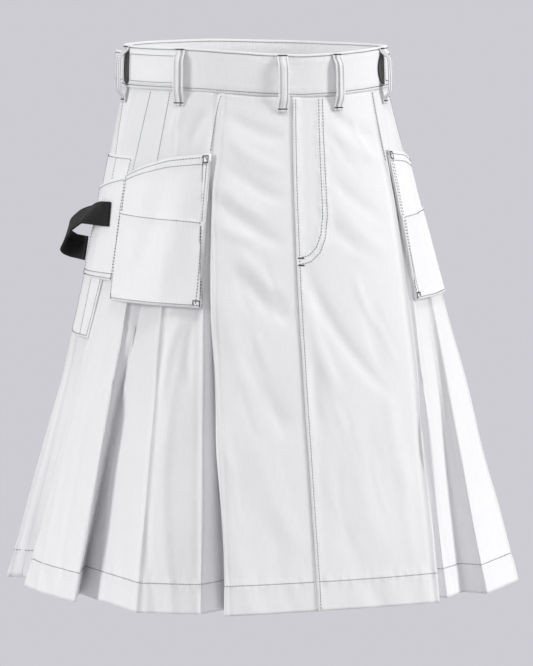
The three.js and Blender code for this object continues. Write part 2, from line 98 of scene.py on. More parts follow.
# soft troughs and ridges: start c and u, end c and u, half width, height
CREASES = [
    (-0.97, 0.035, -0.05, 0.085, 9, -1.7), (-0.97, 0.075, -0.06, 0.15, 8, 1.3),
    (-0.94, 0.13, -0.06, 0.205, 8, -1.8), (-0.98, 0.17, -0.3, 0.24, 8, 1.4),
    (-0.98, 0.195, -0.08, 0.295, 9, -1.8), (-1.0, 0.245, -0.45, 0.285, 8, 1.2),
    (-0.75, 0.29, -0.12, 0.395, 11, 1.4), (-0.71, 0.335, -0.06, 0.445, 12, -2.3),
    (-0.85, 0.36, -0.55, 0.6, 13, 1.8), (-0.72, 0.47, -0.1, 0.67, 14, -1.8),
    (-0.9, 0.6, -0.72, 1.0, 14, 1.6), (-0.58, 0.65, -0.12, 0.9, 15, 1.5),
    (-0.4, 0.8, -0.28, 1.0, 12, -1.2), (0.36, 0.03, 0.97, 0.095, 8, -1.7),
    (0.36, 0.065, 0.97, 0.14, 8, 1.3), (0.31, 0.15, 0.87, 0.255, 9, -1.6),
    (0.33, 0.2, 0.9, 0.33, 9, 1.2), (0.29, 0.24, 0.56, 0.31, 8, -1.8),
    (0.06, 0.335, 0.76, 0.6, 10, -2.6), (0.06, 0.36, 0.31, 0.6, 9, 2.3),
    (0.58, 0.4, 0.74, 0.57, 11, -1.7), (0.7, 0.55, 0.86, 0.8, 13, 1.5),
    (0.12, 0.5, 0.15, 0.68, 8, -1.3), (0.4, 0.6, 0.6, 0.92, 14, 1.6),
    (0.25, 0.8, 0.52, 1.0, 13, -1.7), (0.82, 0.7, 0.9, 1.0, 10, 1.2),
    (-1.75, 0.03, -2.5, 0.11, 7, -1.1), (-2.6, 0.02, -3.4, 0.1, 7, 1.0),
    (-2.2, 0.4, -2.45, 1.0, 7, 1.1), (-2.7, 0.42, -2.72, 1.0, 6, -1.0),
    (-3.3, 0.42, -3.25, 1.0, 7, 1.1), (-3.55, 0.43, -3.3, 0.64, 8, 1.9),
    (-3.85, 0.43, -3.75, 0.62, 7, -1.5), (-2.45, 0.42, -2.8, 0.62, 8, 1.7),
    (-2.2, 0.43, -2.25, 0.58, 6, -1.2), (-4.25, 0.42, -4.3, 1.0, 9, -1.4),
    (-4.6, 0.46, -4.66, 1.0, 9, 1.4), (-5.6, 0.3, -5.7, 1.0, 10, 1.3),
    (2.3, 0.43, 2.35, 1.0, 6, -0.9), (3.3, 0.43, 3.3, 1.0, 7, 1.0),
    (4.3, 0.44, 4.35, 1.0, 9, -1.4), (4.7, 0.44, 4.66, 1.0, 9, 1.4),
    (5.55, 0.35, 5.6, 1.0, 10, 1.3), (6.3, 0.1, 6.45, 1.0, 14, -2.0),
    (6.9, 0.06, 6.75, 0.8, 13, 1.8), (7.4, 0.2, 7.3, 1.0, 16, -2.4),
    (7.8, 0.03, 7.6, 0.7, 14, 1.7), (7.5, 0.02, 6.7, 0.16, 10, 1.3),
    (7.6, 0.06, 6.5, 0.27, 11, -1.4), (-6.35, 0.1, -6.45, 1.0, 14, -2.0),
    (-6.85, 0.05, -6.7, 0.85, 13, 1.7), (-7.35, 0.25, -7.25, 1.0, 16, -2.3),
    (-7.75, 0.03, -7.6, 0.75, 14, 1.6), (-7.4, 0.02, -6.7, 0.18, 10, 1.3),
    (-7.6, 0.07, -6.6, 0.3, 11, -1.3),
]
# small drag creases over the apron, steeper towards the hem
DRAGS = 34
drag = np.random.default_rng(5)
for k in range(DRAGS):
    side = -1 if k % 2 else 1
    u0 = drag.uniform(0.03, 0.86)
    c0 = drag.uniform(-0.95, -0.35) if side < 0 else drag.uniform(0.05, 0.65)
    reach, fall = drag.uniform(0.18, 0.34) * (1.15 - u0), drag.uniform(0.05, 0.1) + 0.1 * u0
    wide, high = drag.uniform(4, 6.5), drag.uniform(0.35, 0.75) * (1 if k % 4 < 2 else -1)
    CREASES.append((c0, u0, c0 + reach, min(u0 + fall, 0.99), wide, high))
# ridges that are stitched or pressed sharp, and how far the fold stands up
PRESSED = {
    -6: 0.6, -5: 1.0, -4: 1.1, -3: 1.5, -2: 1.1, -1: 1.1,
    1: 1.0, 2: 0.9, 3: 1.3, 4: 1.1, 5: 0.8, 6: 0.6,
}
# the pleats' front folds that the front seams follow, and the seams of the back panel
FRONT_SEAM = 1.45
BACK_SEAM = {-1: 5.7667, 1: 5.7333}


def edge_height(deg):
    d = np.abs(deg)
    i = np.clip(np.searchsorted(EDGE_DEG, d) - 1, 0, len(EDGE_DEG) - 2)
    f = (d - EDGE_DEG[i]) / (EDGE_DEG[i + 1] - EDGE_DEG[i])
    t = (1 - np.cos(np.pi * f)) / 2
    return EDGE_Z[i] + (EDGE_Z[i + 1] - EDGE_Z[i]) * (t + (f - t) * EDGE_EVEN)


def flat_cloth(c, u):
    """The unpleated cloth at ridge count c and height share u, 0 at the waistband, 1 at the hem."""
    c, u = np.broadcast_arrays(np.asarray(c, float), np.asarray(u, float))
    s = (c >= 0).astype(int)
    i = np.minimum(np.floor(np.abs(c)), 7).astype(int)
    f = np.abs(c) - i
    a, b = RIDGES[s, i], RIDGES[s, i + 1]
    mix = lambda k: a[..., k] * (1 - f) + b[..., k] * f
    turn = np.radians(mix(0))
    dx, dy = b[..., 1] - a[..., 1], b[..., 2] - a[..., 2]
    bow = a[..., 6] * 4 * f * (1 - f) * np.where(s == 1, 1, -1) / np.hypot(dx, dy)
    bump = lambda at: np.sin(np.pi * np.clip(u, 0, 1) ** (np.log(0.5) / np.log(at))) ** 1.5
    bend_a, bend_b = bump(a[..., 5]) * (1 - f), bump(b[..., 5]) * f
    x, y = WAIST_A * np.sin(turn), -WAIST_B * np.cos(turn)
    x = x + (mix(1) + dy * bow - x) * u + a[..., 3] * bend_a + b[..., 3] * bend_b
    y = y + (mix(2) - dx * bow - y) * u + a[..., 4] * bend_a + b[..., 4] * bend_b
    top = edge_height(mix(0)) - BAND_HEIGHT - SEAM_GAP
    return np.stack([x, y, top + (HEM_Z - top) * u], -1)


def pleated_cloth(c, u):
    """The cloth with its pleats pushed in, still with sharp folds."""
    c, u = np.broadcast_arrays(np.asarray(c, float), np.asarray(u, float))
    p = flat_cloth(c, u)
    for s, rows in enumerate(PLEATS):
        turn = 1 if s else -1
        folds = [(k, 0, 0, 0) for k in range(9)]
        for at, x, y, opens in rows:
            rest = flat_cloth(at * turn, 1.0)
            folds.append((at, x - rest[0], y - rest[1], opens))
        folds = np.array(sorted(folds))
        mine = (c >= 0) == (s == 1)
        q, h = np.abs(c[mine]), u[mine]
        j = np.clip(np.searchsorted(folds[:, 0], q, side="right") - 1, 0, len(folds) - 2)
        f = (q - folds[j, 0]) / (folds[j + 1, 0] - folds[j, 0])
        for k, w in ((j, 1 - f), (j + 1, f)):
            t = (h - folds[k, 3]) / (1 - folds[k, 3])
            grow = (t + np.sqrt(t * t + 0.0016)) / 2 * w
            p[mine, 0] += folds[k, 1] * grow
            p[mine, 1] += folds[k, 2] * grow
    return p


def reach_along(points):
    """How far along a line of points each of them is."""
    return np.r_[0, np.cumsum(np.linalg.norm(np.diff(points, axis=0), axis=1))]


def soften(table, sigma):
    """Rounds the folds of each ring with a bell curve of `sigma` columns."""
    n = table.shape[1]
    freq = np.fft.rfftfreq(n)
    bell = np.exp(-2 * (np.pi * freq * sigma) ** 2)[None, :, None]
    return np.fft.irfft(np.fft.rfft(table, axis=1) * bell, n, axis=1)


# The form is a table of points: rows about 2.8 mm apart, columns half a millimetre at the hem
COLUMN_GAP = 0.55
ROWS = 201
# how many columns a fold is rounded over: pressed, hanging, over the hips, across the back
SHARP, SOFT, HIPS, ACROSS_BACK = 1.2, 5, 24, 60
PRESS_REACH = 20
fine = np.linspace(-8, 8, 6401)
at_hem = pleated_cloth(fine, 1.0)
along_hem = reach_along(at_hem)
marks = np.arange(-8, 9)
col_c = [np.array([-8.0])]
for k in marks[:-1]:
    start, end = np.interp([k, k + 1], fine, along_hem)
    share = np.linspace(0, 1, max(int((end - start) / COLUMN_GAP), 8) + 1)[1:]
    col_c.append(np.interp(start + share * (end - start), along_hem, fine))
col_c = np.concatenate(col_c)
row_u = np.linspace(0, 1, ROWS)
ring = col_c[:-1]
folded = pleated_cloth(ring[None, :], row_u[:, None])
sharp = soften(folded, SHARP)
soft = soften(folded, SOFT)
pressed = np.zeros(len(ring))
for at in PRESSED:
    k = np.argmin(np.abs(ring - at))
    pressed = np.maximum(pressed, np.exp(-(((np.arange(len(ring)) - k) / PRESS_REACH) ** 4)))
slack = (0.35 + 0.65 * row_u[:, None] ** 0.7) * (1 - 0.94 * pressed[None, :])
form = sharp * (1 - slack[..., None]) + soft * slack[..., None]
# Above the pockets the cloth lies smooth over the hips, and across the back it hangs round
below_yoke = np.clip((row_u - 0.1) / 0.12, 0, 1)[:, None]
at_back = np.clip((np.abs(ring) - 6.15) / 0.6, 0, 1)[None, :]
for sigma, share in ((HIPS, 1 - below_yoke), (ACROSS_BACK, at_back)):
    share = (share * share * (3 - 2 * share))[..., None]
    form = form * (1 - share) + soften(folded, sigma) * share
form = np.concatenate([form, form[:, :1]], 1)


def surface_normals(table):
    across = np.empty_like(table)
    across[:, 1:-1] = table[:, 2:] - table[:, :-2]
    across[:, 0] = across[:, -1] = table[:, 1] - table[:, -2]
    down = np.gradient(table, axis=0)
    n = np.cross(down, across)
    return n / np.linalg.norm(n, axis=-1, keepdims=True)


normal = surface_normals(form)
step = np.linalg.norm(np.diff(form, axis=1), axis=2)
arc = np.concatenate([np.zeros((len(row_u), 1)), np.cumsum(step, axis=1)], 1)
arc -= arc[:, [np.argmin(np.abs(col_c))]]
relief = np.zeros(arc.shape)
all_round = arc[:, -1:] - arc[:, :1]
# a crease bows by this share of its length, its core is this share of its width, and those on
# the kilt's own right are this much deeper
CREASE_BOW, CREASE_CORE, RIGHT_DEEPER = 0.06, 0.85, 1.35
for c0, u0, c1, u1, wide, high in CREASES:
    start, end = (np.argmin(np.abs(col_c - c)) for c in (c0, c1))
    low = int(u1 * (ROWS - 1))
    way = np.array([arc[low, end] - arc[low, start], (u1 - u0) * CLOTH_LONG])
    long = np.linalg.norm(way)
    way /= long
    dx = (arc - arc[:, [start]] + all_round / 2) % all_round - all_round / 2
    dy = (row_u[:, None] - u0) * CLOTH_LONG
    t = (dx * way[0] + dy * way[1]) / long
    bent = CREASE_BOW * long * np.sin(np.pi * np.clip(t, 0, 1))
    off = dx * way[1] - dy * way[0] + bent
    fade = np.clip(np.minimum(t + 0.04, 1.04 - t if u1 < 1 else t * 0 + 1) * 3.2, 0, 1)
    across = np.exp(-((off / (CREASE_CORE * wide)) ** 2))
    deeper = RIGHT_DEEPER if c0 < 0 else 1
    relief += deeper * high * fade * fade * (3 - 2 * fade) * across
for at, high in PRESSED.items():
    k = np.argmin(np.abs(col_c - at))
    off = arc - arc[:, [k]]
    lip = np.exp(-((off / 1.5) ** 2)) - 0.8 * np.exp(-(((np.abs(off) - 5) / 2.8) ** 2))
    relief += high * lip * (1 if abs(at) == 1 else below_yoke)
# Slow unevenness of the hanging cloth
WAVES, WAVE_HIGH = 14, 0.34
wobble = np.random.default_rng(11)
for _ in range(WAVES):
    fa, fz = wobble.uniform(1, 4.5), wobble.uniform(0.6, 5)
    phase = wobble.uniform(0, 6.28)
    k = np.round(fa * 2.6)
    turns = k * (col_c[None, :] / 16) + fz * row_u[:, None]
    relief += WAVE_HIGH * np.sin(2 * np.pi * turns + phase) * (0.3 + 0.7 * row_u[:, None])
# The turned hem is double, and its stitch line draws it in between small puckers
HEM_U = 0.9435
HEM_STEP = 0.45
PUCKER = 0.27
hem_line = (row_u[:, None] - HEM_U) * CLOTH_LONG
relief += HEM_STEP / (1 + np.exp(-hem_line / 1.5)) - HEM_STEP * np.exp(-((hem_line / 2.6) ** 2))
pucker = sum(np.sin(arc / w * 2 * np.pi + p) for w, p in ((9.5, 0), (14.3, 2), (23, 4)))
ease = np.clip((8 - np.abs(col_c)) * 5, 0, 1)[None, :]
relief += PUCKER * ease * pucker * np.exp(-((hem_line / 9) ** 2))
near_hem = np.clip((row_u[:, None] - 0.8) / 0.2, 0, 1)
relief += 0.5 * ease * np.sin(arc / 46 * 2 * np.pi + 1.3 * np.sin(arc / 90)) * near_hem
form = form + normal * relief[..., None]
normal = surface_normals(form)


def on_cloth(c, u, rise=0.0):
    """Points and outward directions of the finished cloth, `rise` millimetres off it."""
    c, u = np.broadcast_arrays(np.asarray(c, float), np.asarray(u, float))
    x = np.interp(c, col_c, np.arange(len(col_c)))
    y = np.clip(u, 0, 1) * (len(row_u) - 1)
    x0, y0 = np.minimum(x.astype(int), len(col_c) - 2), np.minimum(y.astype(int), len(row_u) - 2)
    fx, fy = (x - x0)[..., None], (y - y0)[..., None]
    out = []
    for table in (form, normal):
        a = table[y0, x0] * (1 - fx) + table[y0, x0 + 1] * fx
        b = table[y0 + 1, x0] * (1 - fx) + table[y0 + 1, x0 + 1] * fx
        out.append(a * (1 - fy) + b * fy)
    n = out[1] / np.linalg.norm(out[1], axis=-1, keepdims=True)
    return out[0] + n * np.asarray(rise)[..., None], n


def flat_grid(nx, ny):
    """A flat grid, with the column and the row that each of its points is in."""
    bm = bmesh.new()
    bmesh.ops.create_grid(bm, x_segments=nx, y_segments=ny, size=0.5)
    flat = np.array([v.co[:2] for v in bm.verts])
    column = np.rint((flat[:, 0] + 0.5) * nx).astype(int)
    row = np.rint((0.5 - flat[:, 1]) * ny).astype(int)
    return bm, column, row


def mark_cut(bm, across, along):
    """Smooths the faces and keeps each point's place on the flat cut, given in millimetres."""
    uv = bm.loops.layers.uv.new("cut")
    for face in bm.faces:
        face.smooth = True
        for loop in face.loops:
            k = loop.vert.index
            loop[uv].uv = (across[k] / 1000, along[k] / 1000)


def as_piece(bm, name, material):
    """Turns a finished bmesh into an object of one material."""
    mesh = bpy.data.meshes.new(name)
    bm.to_mesh(mesh)
    bm.free()
    mesh.materials.append(material)
    piece = bpy.data.objects.new(name, mesh)
    bpy.context.collection.objects.link(piece)
    return piece


# thickness of the single cloth above the hem, as a share of the doubled one
SINGLE = 0.55


def cut(name, across, down, place, size, thick, hem=None):
    """A piece of cloth from a flat grid: `across` and `down` are the shares of its width and
    length where its rows lie, `place` puts them on the form, `size` is its cut in millimetres."""
    bm, column, row = flat_grid(len(across) - 1, len(down) - 1)
    a, b = np.asarray(across)[column], np.asarray(down)[row]
    points, out = place(a, b)
    for v, p in zip(bm.verts, points / 1000):
        v.co = p
    bm.normal_update()
    mean = sum((v.normal.dot(Vector(n)) for v, n in zip(list(bm.verts)[::7], out[::7])))
    if mean < 0:
        bmesh.ops.reverse_faces(bm, faces=bm.faces)
    mark_cut(bm, a * size[0], -b * size[1])
    piece = as_piece(bm, name, white_twill)
    wall = piece.modifiers.new("thickness", "SOLIDIFY")
    wall.thickness = thick / 1000
    wall.offset = -1
    wall.use_even_offset = False
    if hem is not None:
        group = piece.vertex_groups.new(name="double")
        for k in range(len(piece.data.vertices)):
            group.add([k], 1.0 if b[k] > hem else SINGLE, "REPLACE")
        wall.vertex_group = "double"
    return piece


def new_material(name):
    material = bpy.data.materials.new(name)
    material.use_nodes = True
    return material, material.node_tree.nodes["Principled BSDF"]


def node(tree, kind, inputs=None, **settings):
    """Adds a node with its settings and the values of its unlinked inputs."""
    n = tree.nodes.new(kind)
    for key, value in settings.items():
        setattr(n, key, value)
    for key, value in (inputs or {}).items():
        n.inputs[key].default_value = value
    return n


def link_chain(tree, pairs):
    for a, out, b, into in pairs:
        tree.links.new(a.outputs[out], b.inputs[into])


# Woven look shared by the twill, the webbing and the dark strips of painted shade: slanting ribs,
# slubs in the yarn, and a tone that follows the yarn. It reads the piece's own cut, in metres.
weave = bpy.data.node_groups.new("weave", "ShaderNodeTree")
for name, kind, way, value in (
    ("Cut", "NodeSocketVector", "INPUT", None),
    ("Rib Spacing", "NodeSocketFloat", "INPUT", 520.0),
    ("Rib Slant", "NodeSocketFloat", "INPUT", 0.45),
    ("Slub", "NodeSocketFloat", "INPUT", 0.5),
    ("Height", "NodeSocketFloat", "OUTPUT", None),
    ("Tone", "NodeSocketFloat", "OUTPUT", None),
):
    socket = weave.interface.new_socket(name, in_out=way, socket_type=kind)
    if value is not None:
        socket.default_value = value
WARP_STRETCH, WEFT_STRETCH = (850, 60, 1), (60, 700, 1)
WEFT_SHARE = 0.3
g_in = node(weave, "NodeGroupInput")
g_out = node(weave, "NodeGroupOutput")
slant = node(weave, "ShaderNodeVectorRotate", rotation_type="Z_AXIS")
ribs = node(weave, "ShaderNodeTexWave", {"Distortion": 1.2, "Detail": 1.0}, bands_direction="X")
stretch = node(weave, "ShaderNodeVectorMath", {1: WARP_STRETCH}, operation="MULTIPLY")
yarn = node(weave, "ShaderNodeTexNoise", {"Scale": 1.0, "Detail": 3.0})
cross = node(weave, "ShaderNodeVectorMath", {1: WEFT_STRETCH}, operation="MULTIPLY")
weft = node(weave, "ShaderNodeTexNoise", {"Scale": 1.0, "Detail": 2.0})
both = node(weave, "ShaderNodeMath", {1: WEFT_SHARE}, operation="MULTIPLY_ADD")
half = node(weave, "ShaderNodeMath", {1: 0.77}, operation="MULTIPLY")
mix = node(weave, "ShaderNodeMix", data_type="FLOAT")
tone_range = {"From Min": 0.3, "From Max": 0.7, "To Min": 0.945, "To Max": 1.0}
tone = node(weave, "ShaderNodeMapRange", tone_range)
link_chain(weave, [
    (g_in, "Cut", slant, "Vector"), (g_in, "Rib Slant", slant, "Angle"),
    (slant, 0, ribs, "Vector"), (g_in, "Rib Spacing", ribs, "Scale"),
    (g_in, "Cut", stretch, 0), (stretch, 0, yarn, "Vector"),
    (g_in, "Cut", cross, 0), (cross, 0, weft, "Vector"),
    (weft, 0, both, 0), (yarn, 0, both, 2), (both, 0, half, 0),
    (g_in, "Slub", mix, "Factor"), (ribs, "Fac", mix, "A"), (half, 0, mix, "B"),
    (mix, "Result", g_out, "Height"), (half, 0, tone, "Value"), (tone, "Result", g_out, "Tone"),
])
# how deep the cloth is drawn in beside its stitches, in metres
DRAWN_DEEP = 0.0016


def woven(name, colour, spacing, slant_angle, slub, depth, rough, sheen, mottle=0.02):
    """A cloth material on the piece's own cut, with its colour gently uneven."""
    material, shader = new_material(name)
    tree = material.node_tree
    for key, value in (
        ("Roughness", rough), ("Sheen Weight", sheen), ("Sheen Roughness", 0.5),
        ("Specular IOR Level", 0.25),
    ):
        shader.inputs[key].default_value = value
    cut_map = node(tree, "ShaderNodeUVMap", uv_map="cut")
    place = node(tree, "ShaderNodeTexCoord")
    group = node(tree, "ShaderNodeGroup", node_tree=weave)
    for key, value in (("Rib Spacing", spacing), ("Rib Slant", slant_angle), ("Slub", slub)):
        group.inputs[key].default_value = value
    patchy = node(tree, "ShaderNodeTexNoise", {"Scale": 26, "Detail": 4})
    uneven = node(tree, "ShaderNodeMapRange", {"To Min": 1 - mottle, "To Max": 1.0})
    times = node(tree, "ShaderNodeMath", operation="MULTIPLY")
    tint = node(tree, "ShaderNodeMix", data_type="RGBA", blend_type="MULTIPLY")
    tint.inputs[0].default_value = 1
    tint.inputs[6].default_value = (*colour, 1)
    wrinkle = node(tree, "ShaderNodeTexNoise", {"Scale": 105, "Detail": 2})
    sewn = node(tree, "ShaderNodeAttribute", attribute_name="sewn")
    drawn = node(tree, "ShaderNodeMath", operation="MULTIPLY")
    drawn_in = node(tree, "ShaderNodeBump", {"Strength": 1.0, "Distance": DRAWN_DEEP})
    ribbed = node(tree, "ShaderNodeBump", {"Strength": 0.7, "Distance": depth})
    link_chain(tree, [
        (cut_map, "UV", group, "Cut"), (place, "Object", patchy, "Vector"),
        (patchy, 0, uneven, "Value"), (uneven, "Result", times, 0), (group, "Tone", times, 1),
        (times, 0, tint, 7), (tint, 2, shader, "Base Color"),
        (place, "Object", wrinkle, "Vector"), (wrinkle, 0, drawn, 0), (sewn, "Fac", drawn, 1),
        (drawn, 0, drawn_in, "Height"), (drawn_in, "Normal", ribbed, "Normal"),
        (group, "Height", ribbed, "Height"), (ribbed, "Normal", shader, "Normal"),
    ])
    return material


white_twill = woven("white_twill", (0.86, 0.86, 0.875), 520, 0.42, 0.5, 0.00022, 0.82, 0.12)


# close columns of a panel beside each fold, in millimetres of hem, and where even ones begin
BESIDE_FOLD = np.array([0.8, 2.0, 3.8])
EVEN_FROM = 6


def steps_between(low, high, spacing):
    """Columns of a panel: every `spacing` millimetres of hem, with each fold on a column."""
    inner = [turn * row[0] for turn, rows in zip((-1, 1), PLEATS) for row in rows]
    edges = sorted({low, high, *[k for k in [*marks, *inner] if low < k < high]})
    out = [low]
    for a, b in zip(edges, edges[1:]):
        start, end = np.interp([a, b], fine, along_hem)
        long = end - start
        n = max(int(round((long - 8) / spacing)), 2)
        even = np.linspace(EVEN_FROM, long - EVEN_FROM, n)
        away = np.r_[BESIDE_FOLD, even, long - BESIDE_FOLD[::-1], long]
        out += list(np.interp(start + away, along_hem, fine))
    return np.array(out)


# the seams behind the apron's edges start on the ridge and run into the pleat's inner fold
SEAM_U = [0, 0.115, 0.3, 1]
SEAM_C = {-1: [1.0, 1.5, 1.47, 1.45], 1: [1.0, 1.06, 1.4, 1.45]}


def seam_at(turn, u):
    return np.interp(u, SEAM_U, SEAM_C[turn])


def follow_seam(turn, c, u):
    """Draws the columns beside the seam to its line, the ridges staying where they are."""
    q, at = np.abs(c), np.minimum(np.maximum(seam_at(turn, u), 1.012), 1.98)
    inner = 1 + (q - 1) * (at - 1) / 0.45
    outer = 2 - (2 - q) * (2 - at) / 0.55
    return np.where(q <= 1, c, turn * np.where(q <= 1.45, inner, np.where(q < 2, outer, q)))


FLY_LAP = 1.9
SEAM_LAP = 1.1


def lap(c, u):
    """The left front lies over the right one along the fly and the seam below it."""
    away = np.abs(c) * np.interp(u, [0, 1], [115, 150])
    return FLY_LAP * np.exp(-((away / 7) ** 2)) * (1 - 0.35 * np.exp(-(((away - 4) / 1.6) ** 2)))


def seam_lap(c, u):
    """The apron's edge lies over the side panel above the pocket."""
    turn = np.where(c < 0, -1, 1)
    at = np.where(c < 0, seam_at(-1, u), seam_at(1, u))
    away = (at - np.abs(c)) * np.interp(u, [0, 1], [25, 45])
    return SEAM_LAP * np.exp(-((away / 5) ** 2)) * np.clip((0.2 - u) / 0.05, 0, 1)


def on_front(c, u, rise=0.0):
    both = seam_lap(c, u) + np.where(c >= 0, lap(c, u), 0)
    return on_cloth(c, u, both + rise)


# each panel's edges in c, column spacing, cut at the hem in millimetres, area in square metres
PANELS = {
    "front_right": (-FRONT_SEAM, 0.0, 2.9, (160, 560), 0.069),
    "side_right": (-BACK_SEAM[-1], -FRONT_SEAM, 3.0, (560, 570), 0.177),
    "side_left": (FRONT_SEAM, BACK_SEAM[1], 3.0, (475, 570), 0.165),
    "front_left": (0.0, FRONT_SEAM, 2.9, (195, 560), 0.092),
}
BACK_SPACING = 4.2
BACK_CUT = (575, 570)
PANEL_THICK = 2.2
SEAM_SHARE = 0.001
down_rows = np.concatenate([np.linspace(0, 0.93, 128), np.linspace(0.936, 1, 13)])
panels = {}
for name, (c0, c1, spacing, size, area) in PANELS.items():
    columns = steps_between(c0, c1, spacing)
    columns[0] += SEAM_SHARE
    columns[-1] -= SEAM_SHARE
    share = np.linspace(0, 1, len(columns))

    def place(a, b, columns=columns, share=share, name=name):
        c = np.interp(a, share, columns)
        c = follow_seam(1 if c.mean() > 0 else -1, c, b)
        return on_front(c, b) if name.startswith("front") else on_cloth(c, b)

    panel = cut(name + "_cloth", share, down_rows, place, size, PANEL_THICK, hem=HEM_U)
    panels[name] = panel
back_columns = np.concatenate([
    steps_between(BACK_SEAM[1], 8, BACK_SPACING),
    steps_between(-8, -BACK_SEAM[-1], BACK_SPACING)[1:] + 16,
])
back_share = np.linspace(0, 1, len(back_columns))


def around_back(c, u):
    """On the cloth where c runs on past the middle of the back."""
    return on_cloth(np.where(c > 8, c - 16, c), u)


def place_back(a, b):
    return around_back(np.interp(a, back_share, back_columns), b)


back = cut("back_cloth", back_share, down_rows[::2], place_back, BACK_CUT, PANEL_THICK, hem=HEM_U)
panels["back"] = back


def stands_for(piece, solid):
    """The piece is shown in place of its solid, on the kilt's one body."""
    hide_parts(solid)
    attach(piece, "root")


for name, piece in panels.items():
    stands_for(piece, name)

# Topstitching: dark grey thread in rows of stitches beside each seam, fold and edge, 3.5 mm from
# one to the next, with dense black bartacks where a seam or pocket corner carries a pull.
STITCH = 2.5
STITCH_PITCH = 3.5
THREAD = 0.48
BARTACK_PITCH = 0.75
seams = {}
sewn_at = []


def thread_material(name, rough, fibres, dark, light):
    """Twisted thread, its tone uneven along the fibres."""
    material, shader = new_material(name)
    shader.inputs["Roughness"].default_value = rough
    tree = material.node_tree
    place = node(tree, "ShaderNodeTexCoord")
    twist = node(tree, "ShaderNodeTexNoise", {"Scale": fibres})
    ramp = node(tree, "ShaderNodeValToRGB")
    for end, colour in zip(ramp.color_ramp.elements, (dark, light)):
        end.color = (*colour, 1)
    link_chain(tree, [
        (place, "Object", twist, "Vector"), (twist, 0, ramp, 0), (ramp, 0, shader, "Base Color"),
    ])
    return material


thread_grey = thread_material("thread_grey", 0.7, 1800, (0.014, 0.015, 0.018), (0.06, 0.062, 0.068))
thread_black = thread_material(
    "thread_black", 0.65, 1500, (0.008, 0.008, 0.01), (0.035, 0.035, 0.04)
)


def at_reach(s, reach, rows):
    return np.array([np.interp(s, reach, rows[:, i]) for i in range(3)])


def bead(bm, p, n, along, size, rise):
    """One bead of thread at p, `size` long, wide and high, standing `rise` off the cloth."""
    n = n - along * n.dot(along)
    n /= np.linalg.norm(n)
    turned = np.stack([along * size[0], np.cross(along, n) * size[1], n * size[2]], 1) / 1000
    rows = [(*turned[i], at) for i, at in enumerate((p + n * rise) / 1000)]
    lie = Matrix([*rows, (0, 0, 0, 1)])
    bmesh.ops.create_icosphere(bm, subdivisions=1, radius=1, matrix=lie)


def sew(group, points, out, length=STITCH, pitch=STITCH_PITCH, radius=THREAD):
    """A row of stitches along points, each one a small long bead half sunk in the cloth."""
    bm = seams.setdefault(group, bmesh.new())
    reach = reach_along(points)
    count = max(int(reach[-1] / pitch), 1)
    for k in range(count):
        mid = (k + 0.5) * reach[-1] / count
        p, n = at_reach(mid, reach, points), at_reach(mid, reach, out)
        way = at_reach(mid + pitch / 2, reach, points) - at_reach(mid - pitch / 2, reach, points)
        along = way / max(np.linalg.norm(way), 1e-6)
        bead(bm, p, n, along, (length / 2, radius * 1.15, radius), 0.1)
        sewn_at.append(p / 1000)


def bartack(points, out, wide=1.9):
    """A dense bar of black thread along a short line."""
    bm = seams.setdefault("bartacks", bmesh.new())
    reach = reach_along(points)
    count = max(int(reach[-1] / BARTACK_PITCH), 2)
    along = points[-1] - points[0]
    along /= np.linalg.norm(along)
    for k in range(count):
        mid = (k + 0.5) * reach[-1] / count
        p, n = at_reach(mid, reach, points), at_reach(mid, reach, out)
        bead(bm, p, n, along, (0.5, wide / 2, 0.42), 0.12)


def trace(surface, corners, n=160):
    """Points and outward directions of a line through corners, on a surface."""
    corners = np.array(corners, float)
    t = reach_along(corners * [1, 4])
    s = np.linspace(0, t[-1], n)
    return surface(np.interp(s, t, corners[:, 0]), np.interp(s, t, corners[:, 1]))


for line in (
    [(0.03, 0.004), (0.026, 0.31), (0.02, 0.997)],
    [(0.26, 0.004), (0.24, 0.235), (0.215, 0.27), (0.17, 0.295), (0.11, 0.309), (0.02, 0.315)],
    [(0.3, 0.004), (0.28, 0.235), (0.255, 0.275), (0.2, 0.305), (0.12, 0.322), (0.02, 0.328)],
    [(0.975, 0.004), (0.99, 0.14)],
    [(0.02, HEM_U), (FRONT_SEAM, HEM_U)],
):
    sew("front_left", *trace(on_front, line, 400))
bartack(*trace(on_front, [(0.01, 0.315), (0.065, 0.315)], 20))
bartack(*trace(on_front, [(0.01, 0.329), (0.065, 0.329)], 20))
for line in (
    [(-1.0, 0.004), (-1.1, 0.03), (-FRONT_SEAM, 0.113)],
    [(-0.02, HEM_U), (-FRONT_SEAM, HEM_U)],
):
    sew("front_right", *trace(on_front, line, 400))
for turn, name in ((-1, "side_right"), (1, "side_left")):
    for line in (
        [(3.82, 0.004), (3.82, 0.16)],
        [(4.9, 0.004), (4.84, 0.16)],
        [(5.7, 0.028), (5.5, 0.135)],
        [(FRONT_SEAM + 0.01, HEM_U), (BACK_SEAM[turn], HEM_U)],
    ):
        sew(name, *trace(on_cloth, [(turn * c, u) for c, u in line], 500))
sew("back", *trace(around_back, [(5.74, HEM_U), (10.23, HEM_U)], 700))

# Waistband: a doubled strip of the same twill, 46.5 mm high, stitched along both edges. It closes
# under the loop beside the fly and rises a little towards the back.
BAND_PROUD = 0.9
BAND_FLARE = 1.5
BAND_THICK = 3.4
# where the band starts under the loop beside the fly, how far it runs round, and its stitch rows
BAND_START, BAND_TURN = -8.83, 359.84
BAND_ROWS = (2.9, 43.6)


